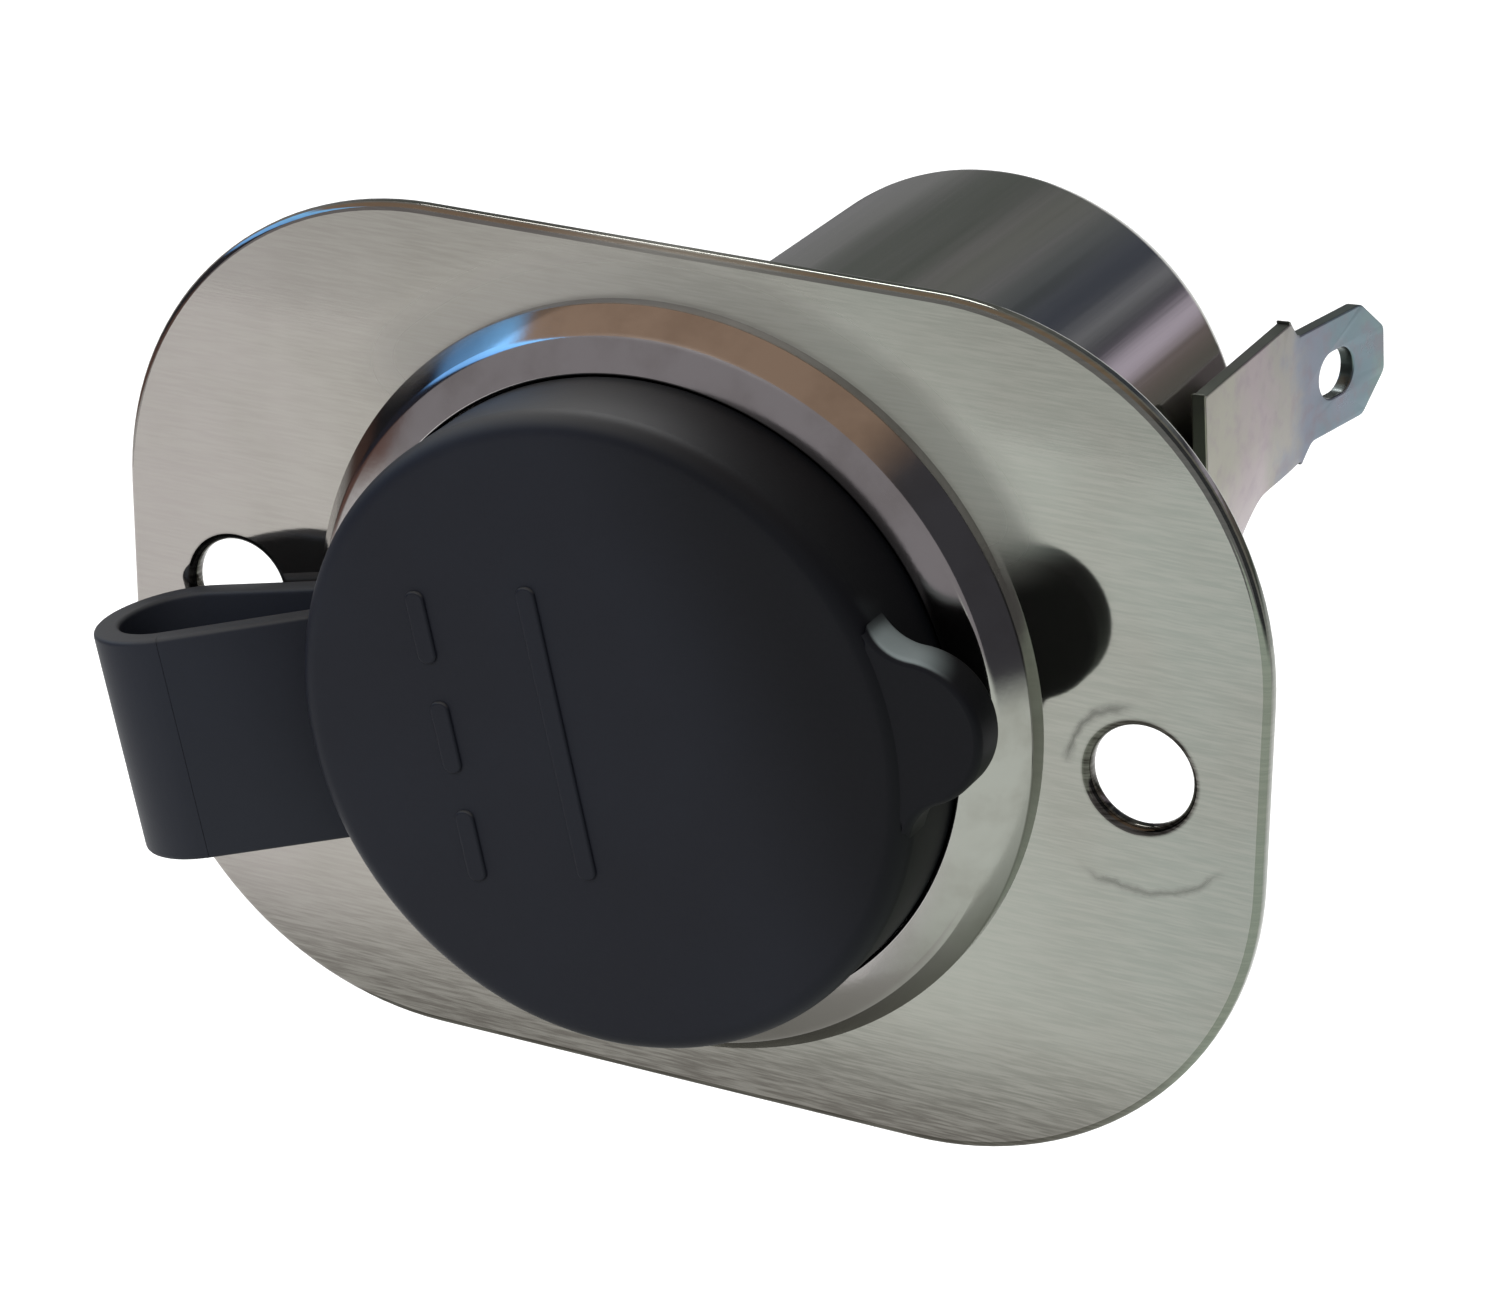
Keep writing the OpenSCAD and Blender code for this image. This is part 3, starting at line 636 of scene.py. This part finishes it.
def finish_mesh(name, mesh, material, sharp=35.0):
    """Makes a piece of a mesh, smooth but for edges sharper than this angle."""
    mesh.materials.clear()
    mesh.materials.append(material)
    mesh.polygons.foreach_set("use_smooth", [True] * len(mesh.polygons))
    mesh.set_sharp_from_angle(angle=math.radians(sharp))
    obj = bpy.data.objects.new(name, mesh)
    bpy.context.scene.collection.objects.link(obj)
    return obj


def baked(obj):
    """Applies an object's modifiers to its mesh."""
    graph = bpy.context.evaluated_depsgraph_get()
    mesh = bpy.data.meshes.new_from_object(obj.evaluated_get(graph))
    obj.modifiers.clear()
    obj.data = mesh
    return obj


def arc(centre, radius, start, end, steps):
    """Points on an arc, with angles in degrees."""
    points = []
    for i in range(steps + 1):
        a = math.radians(start + (end - start) * i / steps)
        points.append((centre[0] + radius * math.cos(a), centre[1] + radius * math.sin(a)))
    return points


def lathe(name, outline, material, turns=192, closed=True, gap=None):
    """Turns a (radius, station) outline round the socket's axis. gap(angle, station) leaves a face out."""
    bm = bmesh.new()
    rings = []
    for r, y in outline:
        if r < 1e-6:
            rings.append([bm.verts.new((0, y * MM, 0))] * turns)
            continue
        rings.append([bm.verts.new((r * MM * math.cos(2 * math.pi * i / turns), y * MM,
                                    r * MM * math.sin(2 * math.pi * i / turns))) for i in range(turns)])
    pairs = list(zip(range(len(rings) - 1), range(1, len(rings))))
    if closed:
        pairs.append((len(rings) - 1, 0))
    for a, b in pairs:
        station = (outline[a][1] + outline[b][1]) / 2
        for i in range(turns):
            j = (i + 1) % turns
            if gap and gap(360 * (i + 0.5) / turns, station):
                continue
            corners = []
            for v in (rings[a][i], rings[a][j], rings[b][j], rings[b][i]):
                if v not in corners:
                    corners.append(v)
            if len(corners) > 2:
                bm.faces.new(corners)
    bmesh.ops.recalc_face_normals(bm, faces=bm.faces)
    mesh = bpy.data.meshes.new(name)
    bm.to_mesh(mesh)
    bm.free()
    return finish_mesh(name, mesh, material)


def slab(name, outlines, back_y, thick, edge, material):
    """A flat piece with rounded edges, between its back face and that less its thickness.

    The outlines are (x, z) loops.
    """
    curve = bpy.data.curves.new(name, "CURVE")
    curve.dimensions = "2D"
    curve.fill_mode = "BOTH"
    curve.extrude = (thick / 2 - edge) * MM
    curve.bevel_depth = edge * MM
    curve.bevel_resolution = 4
    curve.offset = -edge * MM
    for loop in outlines:
        line = curve.splines.new("POLY")
        line.points.add(len(loop) - 1)
        for point, (x, z) in zip(line.points, loop):
            point.co = (x * MM, z * MM, 0, 1)
        line.use_cyclic_u = True
    source = bpy.data.objects.new(name + "_outline", curve)
    bpy.context.scene.collection.objects.link(source)
    graph = bpy.context.evaluated_depsgraph_get()
    mesh = bpy.data.meshes.new_from_object(source.evaluated_get(graph))
    bpy.data.objects.remove(source)
    upright = Matrix.Rotation(math.pi / 2, 4, "X")
    mesh.transform(Matrix.Translation((0, (back_y - thick / 2) * MM, 0)) @ upright)
    obj = finish_mesh(name, mesh, material)
    weighted = obj.modifiers.new("weighted", "WEIGHTED_NORMAL")
    weighted.keep_sharp = True
    return obj


def rounded_box(w, h, r, steps=32):
    """Loop of a rectangle with round corners, turned anticlockwise."""
    x, z = w / 2 - r, h / 2 - r
    return (arc((x, z), r, 0, 90, steps) + arc((-x, z), r, 90, 180, steps)
            + arc((-x, -z), r, 180, 270, steps) + arc((x, -z), r, 270, 360, steps))


def circle(centre, r, steps=64):
    """Loop of a circle, turned clockwise."""
    return arc(centre, r, 360, 360 / steps, steps - 1)


def softened(node, name, material, edge, sharp=28.0):
    """A copy of a CAD node on the socket with its sharp edges eased, which stands for the node."""
    mesh = frame["nodes"][node].data.copy()
    bm = bmesh.new()
    bm.from_mesh(mesh)
    bmesh.ops.remove_doubles(bm, verts=bm.verts, dist=0.002 * MM)
    bmesh.ops.dissolve_limit(bm, angle_limit=math.radians(1), verts=bm.verts, edges=bm.edges)
    bm.to_mesh(mesh)
    bm.free()
    obj = finish_mesh(name, mesh, material, sharp)
    bevel = obj.modifiers.new("edge", "BEVEL")
    bevel.width = edge * MM
    bevel.segments = 2
    bevel.limit_method = "ANGLE"
    bevel.angle_limit = math.radians(sharp)
    bevel.harden_normals = True
    baked(obj)
    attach(obj, "socket")
    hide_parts(node)


def join(target, *others):
    """Adds the meshes of other pieces to one piece."""
    bm = bmesh.new()
    for obj in (target, *others):
        bm.from_mesh(baked(obj).data)
    bm.to_mesh(target.data)
    bm.free()
    for obj in others:
        bpy.data.objects.remove(obj)
    target.data.update()
    return target


# Pieces

def make_plate(material):
    """Oblong plate with its two screw holes and the opening for the well."""
    loops = [rounded_box(plate_w, plate_h, PLATE_CORNER_R), circle((hole_x, 0), hole_r),
             circle((-hole_x, 0), hole_r), circle((0, 0), PLATE_BORE_R, 128)]
    obj = slab("steel_plate", loops, 0, -plate_front, PLATE_EDGE, material)
    baked(obj)
    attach(obj, "socket")
    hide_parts("mounting_plate")


def cut_box(obj, centre, sizes, turn=0.0):
    """Cuts a box out of a piece. The turn is round the socket's axis, in degrees."""
    bm = bmesh.new()
    bmesh.ops.create_cube(bm, size=1)
    mesh = bpy.data.meshes.new("cutter")
    bm.to_mesh(mesh)
    bm.free()
    mesh.transform(Matrix.Rotation(math.radians(turn), 4, "Y") @ Matrix.Translation(Vector(centre) * MM)
                   @ Matrix.Diagonal((*(side * MM for side in sizes), 1)))
    cutter = bpy.data.objects.new("cutter", mesh)
    bpy.context.scene.collection.objects.link(cutter)
    cut = obj.modifiers.new("cut", "BOOLEAN")
    cut.operation = "DIFFERENCE"
    cut.object = cutter
    baked(obj)
    bpy.data.objects.remove(cutter)


def rounded(before, corner, after, reach, steps=5):
    """Points that round the corner between two lines, from one reach before it to one reach after it."""
    corner = Vector(corner)
    back = (Vector(before) - corner).normalized() * reach
    ahead = (Vector(after) - corner).normalized() * reach
    return [tuple(corner + back * (1 - i / steps) ** 2 + ahead * (i / steps) ** 2) for i in range(steps + 1)]


def well_outline():
    """(radius, station) loop of the well.

    It runs over the rim, slope, land, cap seat, mouth, bore and floor, then back behind them.
    """
    foot_r = flange_r + FLANGE_FLARE
    foot, rim = (foot_r, plate_front), (foot_r, plate_front - FLANGE_RIM_H)
    brow = (seat_r + LAND_W, land_y + LAND_W * math.tan(math.radians(LAND_SLOPE)))
    lip = (seat_r, land_y)
    well_r = BORE_R + WELL_WALL
    floor_y, floor_r = well_high.y - WELL_FLOOR_T, BUSHING_R + SLIP
    line = [foot] + rounded(foot, rim, brow, RIM_EASE) + rounded(rim, brow, lip, BROW_EASE, 12)
    line += rounded(brow, lip, (seat_r, dish_y), LIP_EASE)
    line += arc((seat_r - LIP_EASE, dish_y - LIP_EASE), LIP_EASE, 0, 90, 5)
    line += arc((BORE_R + MOUTH_R, dish_y + MOUTH_R), MOUTH_R, -90, -180, 10)
    line += [(BORE_R, floor_y), (floor_r, floor_y), (floor_r, well_high.y), (well_r, well_high.y)]
    line += [(well_r, dish_y + SHEET_T), (seat_r + SHEET_T, dish_y + SHEET_T)]
    line += [(seat_r + SHEET_T, land_y + SHEET_T), (brow[0] - BROW_BACK, brow[1] + SHEET_T)]
    return line + [(foot_r - SHEET_T, rim[1]), (foot_r - SHEET_T, plate_front)]


def make_well(material):
    """Flange and bore in one drawn piece, with the springs' windows and the strap's notch."""
    obj = lathe("drawn_well", well_outline(), material)
    cut_box(obj, (0, WINDOW_MID, 0), (2 * flange_r, WINDOW_LEN, WINDOW_W))
    notch_from, notch_h = seat_r + SHEET_T + SLIP, STRAP_T + SLIP
    cut_box(obj, (notch_from + flange_r / 2, plate_front, 0),
            (flange_r, 2 * notch_h, STRAP_W + 2 * SLIP), 180 - STRAP_ANGLE)
    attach(obj, "socket")
    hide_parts("socket_well")


def make_barrel(material):
    """Drawn cup behind the plate, with a round edge at the tail and a hole for the bushing."""
    hole, front = BUSHING_R + SLIP, shell_low.y
    mouth = (shell_r - BARREL_MOUTH_R, front + BARREL_MOUTH_R)
    tail = (shell_r - BARREL_EDGE_R, shell_len - BARREL_EDGE_R)
    out = [(mouth[0], front)] + arc(mouth, BARREL_MOUTH_R, -60, 0, 3)
    out += [(shell_r, shell_len * share) for share in (0.33, 0.66)]
    out += arc(tail, BARREL_EDGE_R, 0, 90, 12)
    out += [(hole, shell_len), (hole, shell_len - BARREL_WALL)]
    out += arc(tail, BARREL_EDGE_R - BARREL_WALL, 90, 0, 8)
    out += [(shell_r - BARREL_WALL, front)]
    obj = lathe("drawn_barrel", out, material)
    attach(obj, "socket")
    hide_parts("clamp_shell")


def tab_loop():
    """Pull tab: round tip and hollow fillets to the cap, pointing along +x."""
    tip = TAB_REACH - TAB_TIP_R
    a = cap_r + TAB_FILLET_R
    b = TAB_TIP_R + TAB_FILLET_R
    fx = (a * a - b * b + tip * tip) / (2 * tip)
    fz = math.sqrt(a * a - fx * fx)
    to_cap = math.degrees(math.atan2(fz, fx))
    to_tip = math.degrees(math.atan2(fz, fx - tip))
    loop = [(cap_r * 0.85, -2.0)]
    loop += arc((fx, -fz), TAB_FILLET_R, 180 - to_cap, 180 - to_tip, 10)
    loop += arc((tip, 0), TAB_TIP_R, -to_tip, to_tip, 32)
    loop += arc((fx, fz), TAB_FILLET_R, 180 + to_tip, 180 + to_cap, 10)
    return loop + [(cap_r * 0.85, 2.0)]


def turned(points, degrees):
    """A loop turned anticlockwise about the axis."""
    c, s = math.cos(math.radians(degrees)), math.sin(math.radians(degrees))
    return [(x * c - z * s, x * s + z * c) for x, z in points]


def make_cap(material):
    """Rubber cap in one piece: face, rim, plug skirt, pull tab, front leg of the strap and raised sign."""
    foot_y = dish_y - CAP_LIFT - RUBBER_EDGE
    skirt_r = BORE_R - SKIRT_GAP
    tip_r = skirt_r - (cap_skirt_y - dish_y) / SKIRT_TAPER
    under = cap_face_y + CAP_FACE_T
    brim_r = cap_r - CAP_EDGE_R
    out = [(0, cap_face_y)] + [(r, cap_face_y) for r in (5, 10, brim_r - 0.4)]
    out += arc((brim_r, cap_face_y + CAP_EDGE_R), CAP_EDGE_R, -90, 0, 12)
    out += arc((cap_r - RUBBER_EDGE, foot_y), RUBBER_EDGE, 0, 90, 5)
    out += arc((cap_r - CAP_RIM_T + RUBBER_EDGE, foot_y), RUBBER_EDGE, 90, 180, 5)
    out += [(cap_r - CAP_RIM_T, under), (skirt_r, under), (skirt_r, dish_y)]
    out += arc((tip_r - RUBBER_EDGE, cap_skirt_y - RUBBER_EDGE), RUBBER_EDGE, 0, 90, 5)
    out += [(tip_r - SKIRT_WALL, cap_skirt_y), (skirt_r - SKIRT_WALL, under), (0, under)]
    obj = lathe("rubber_cap", out, material, closed=False)
    tab = slab("tab", [turned(tab_loop(), TAB_ANGLE)], cap_face_y + TAB_STEP + TAB_T, TAB_T, TAB_EDGE,
               material)
    join(obj, tab, ribbon("front_leg", strap_lines()[2], material), *raised_sign(material))
    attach(obj, "cap")
    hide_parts("cap")


def raised_sign(material):
    """Generic direct-current sign, a bar over three dashes, raised on the cap's face."""
    width, length, proud, sunk, edge = 1.0, 14.6, 0.16, 0.3, 0.12
    bar_x, dash_x, middle_z = -1.9, -7.9, 0.4
    dashes, dash = 3, 3.6
    step = (length - dash) / (dashes - 1)
    bars = [(bar_x, middle_z, length)]
    bars += [(dash_x, middle_z + step * (i - 1), dash) for i in range(dashes)]
    made = []
    for i, (across, along, long) in enumerate(bars):
        loop = [(x + across, z + along) for x, z in rounded_box(width, long, width * 0.45, 8)]
        made.append(slab(f"sign_{i}", [turned(loop, STRAP_ANGLE)], cap_face_y + sunk, sunk + proud, edge,
                         material))
    return made


def strap_lines():
    """Middle lines of the strap, as (distance out, station): rear leg, fold and front leg."""
    rear_y = plate_front - STRAP_T / 2
    inside = seat_r + SHEET_T + 2 * SLIP
    fold_y = rear_y - FOLD_R
    slope = math.radians(LEG_SLOPE)
    fold = arc((FOLD_REACH, fold_y), FOLD_R, 90, -90 - LEG_SLOPE, 48)
    out, y = fold[-1]
    run = (out - cap_r + STRAP_ROOT) / math.cos(slope)
    rear = [(inside + (FOLD_REACH - inside) * i / 12, rear_y) for i in range(13)]
    front = [(out - run * i / 14 * math.cos(slope), y + run * i / 14 * math.sin(slope))
             for i in range(15)]
    return rear, fold, front


def ribbon(name, line, material):
    """A length of the strap along its middle line."""
    section = rounded_box(STRAP_W, STRAP_T, STRAP_EDGE, 4)
    bm = bmesh.new()
    rings = []
    for i, (a, y) in enumerate(line):
        before, after = line[max(i - 1, 0)], line[min(i + 1, len(line) - 1)]
        run = Vector((after[0] - before[0], after[1] - before[1])).normalized()
        side = strap_out * -run.y + Vector((0, run.x, 0))
        middle = strap_out * a + Vector((0, y, 0))
        rings.append([bm.verts.new((middle + strap_across * w + side * t) * MM) for w, t in section])
    count = len(section)
    for first, second in zip(rings, rings[1:]):
        for k in range(count):
            bm.faces.new((first[k], first[(k + 1) % count], second[(k + 1) % count], second[k]))
    bm.faces.new(rings[0])
    bm.faces.new(rings[-1])
    bmesh.ops.recalc_face_normals(bm, faces=bm.faces)
    mesh = bpy.data.meshes.new(name)
    bm.to_mesh(mesh)
    bm.free()
    return finish_mesh(name, mesh, material, sharp=60)


def make_fold(material):
    """The bend of the strap."""
    fold = strap_lines()[1]
    obj = ribbon("rubber_fold", fold, material)
    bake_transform(obj)
    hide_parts("strap_fold")


def make_ring(material):
    """Rubber ring between the flange and the plate, with the strap's rear leg."""
    r_in, edge_r = BORE_R + WELL_WALL + SLIP, flange_r - SHEET_T - SLIP - RUBBER_EDGE
    front = dish_y + SHEET_T
    out = [(r_in, plate_front)] + arc((edge_r, plate_front - RUBBER_EDGE), RUBBER_EDGE, 90, 0, 5)
    out += arc((edge_r, front + RUBBER_EDGE), RUBBER_EDGE, 0, -90, 5) + [(r_in, front)]
    obj = lathe("rubber_ring", out, material)
    join(obj, ribbon("rear_leg", strap_lines()[0], material))
    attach(obj, "socket")
    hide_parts("strap_anchor")


def eased(points, radius):
    """A loop with its corners rounded."""
    loop = []
    for i, corner in enumerate(points):
        loop += rounded(points[i - 1], corner, points[(i + 1) % len(points)], radius)
    return loop


def terminal_blank():
    """The flat sheet before it is bent: outline, blade hole and rivet hole.

    Points are (y, height over the line where the sheet touches the barrel).
    """
    front, tip, neck = terminal_low.y, terminal_high.y, shell_len + NECK_OUT
    top, low = BLADE_RISE + BLADE_W / 2, BLADE_RISE - BLADE_W / 2
    middle_r = shell_r + SLIP + BLADE_T / 2
    foot = -math.radians(FOOT_WRAP) * middle_r
    corners = [(front, SHEET_UPPER_W), (front, foot), (front + FOOT_LEN, foot)]
    hollow = arc((front + FOOT_LEN + HOLLOW_R, -SHEET_LOWER_W - HOLLOW_R), HOLLOW_R, 180, 90, 8)
    blade = [(neck, -SHEET_LOWER_W), (neck + SHOULDER, low), (tip - BLADE_SLOPE, low),
             (tip, low + BLADE_CHAMFER), (tip, top - BLADE_CHAMFER), (tip - BLADE_SLOPE, top),
             (neck, top), (neck - SHOULDER, SHEET_UPPER_W)]
    slot = [(y + tip - BLADE_HOLE_BACK, z + BLADE_RISE)
            for y, z in rounded_box(BLADE_HOLE_LEN, BLADE_HOLE_W, BLADE_HOLE_W / 2 - 0.01, 12)]
    rivet = circle((front + FOOT_LEN / 2, foot * RIVET_SHARE), RIVET_HOLE_R)
    return [eased(corners, BLANK_CORNER) + hollow + eased(blade, BLANK_CORNER), slot, rivet]


def bend_sheet(y, height, depth):
    """Where a point of the blank goes: round the barrel below the contact line, leaning past the neck."""
    neck = shell_len + NECK_OUT
    r = shell_r + SLIP + depth
    turn = min(height, 0) / (shell_r + SLIP + BLADE_T / 2)
    wrapped = Vector((r * math.cos(turn), 0, r * math.sin(turn) + max(height, 0)))
    flat = Vector((r, 0, height))
    t = min(max((y - shell_len) / NECK_OUT, 0), 1)
    spot = wrapped.lerp(flat, t * t * (3 - 2 * t))
    past = y - neck
    lean = max(past, 0)
    if abs(past) < BEND_EASE:
        lean = (past + BEND_EASE) ** 2 / (4 * BEND_EASE)
    return spot + Vector((lean * math.tan(math.radians(BLADE_BEND)), y, 0))


def make_terminal(material):
    """Ground terminal, cut from one sheet and bent."""
    obj = slab("ground_blade", terminal_blank(), BLADE_T, BLADE_T, BLANK_EDGE, material)
    bm = bmesh.new()
    bm.from_mesh(obj.data)
    bmesh.ops.remove_doubles(bm, verts=bm.verts, dist=0.001 * MM)
    # Cuts across the flat sheet, so that it can bend smoothly at the barrel and at the neck
    neck = shell_len + NECK_OUT
    cuts = [((0, 0, -step * 0.7), (0, 0, 1)) for step in range(20)]
    cuts += [((neck - 5 + step * 0.4, 0, 0), (1, 0, 0)) for step in range(15)]
    for place, normal in cuts:
        bmesh.ops.bisect_plane(bm, geom=bm.verts[:] + bm.edges[:] + bm.faces[:], dist=1e-7,
                               plane_co=Vector(place) * MM, plane_no=normal)
    turn = Matrix.Rotation(-math.radians(SHEET_ANGLE), 3, "Y")
    for vert in bm.verts:
        y, depth, height = vert.co / MM
        vert.co = turn @ bend_sheet(y, height, depth) * MM
    bmesh.ops.recalc_face_normals(bm, faces=bm.faces)
    bm.to_mesh(obj.data)
    bm.free()
    baked(obj)
    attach(obj, "socket")
    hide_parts("ground_terminal")


def dress():
    """Makes every piece with its finish. The last number of a softened piece is its edge."""
    rubber = rubber_finish()
    zinc = zinc_finish()
    steel = metal_finish("plated_steel", srgb(150, 150, 146), srgb(196, 196, 190))
    brass = metal_finish("turned_brass", srgb(168, 132, 72), srgb(214, 178, 112))
    bronze = metal_finish("spring_bronze", srgb(150, 108, 70), srgb(196, 150, 104))
    phenolic = phenolic_finish()
    make_plate(plate_finish())
    make_well(chrome_finish())
    make_barrel(barrel_finish())
    make_cap(rubber)
    make_ring(rubber)
    make_fold(rubber)
    make_terminal(zinc)
    softened("positive_terminal", "positive_blade", zinc, 0.12)
    softened("ground_rivet", "blade_rivet", steel, 0.15)
    softened("clamp_nut", "barrel_nut", steel, 0.25)
    softened("clamp_washer", "barrel_washer", steel, 0.1)
    softened("terminal_nut", "stud_nut", steel, 0.2)
    softened("terminal_washer", "stud_washer", steel, 0.1)
    softened("threaded_bushing", "bushing", brass, 0.15)
    softened("centre_contact", "contact", brass, 0.15)
    softened("grip_spring_right", "spring_right", bronze, 0.06)
    softened("grip_spring_left", "spring_left", bronze, 0.06)
    softened("insulating_disc", "well_disc", phenolic, 0.15)
    softened("rear_insulator", "tail_collar", phenolic, 0.15)


bpy.context.scene.view_settings.view_transform = "Standard"
make_camera()
make_world(WORLD_FILL)
make_lamp("key", *KEY_LAMP)
make_lamp("rim", *RIM_LAMP)
make_floor()
make_round_card("back_card", BACK_CARD, BACK_SHADES)
make_round_card("front_card", FRONT_CARD, FRONT_SHADES)
make_round_card("side_band", SIDE_BAND, BAND_SHADES)
make_round_card("middle_card", MIDDLE_CARD, MIDDLE_SHADES)
make_round_card("centre_card", CENTRE_CARD, CENTRE_SHADES)
make_flat_card("under_card", UNDER_CARD, UNDER_DROP, UNDER_SHADES)
make_flat_card("side_card", SIDE_CARD, SIDE_DROP, SIDE_SHADES)
dress()
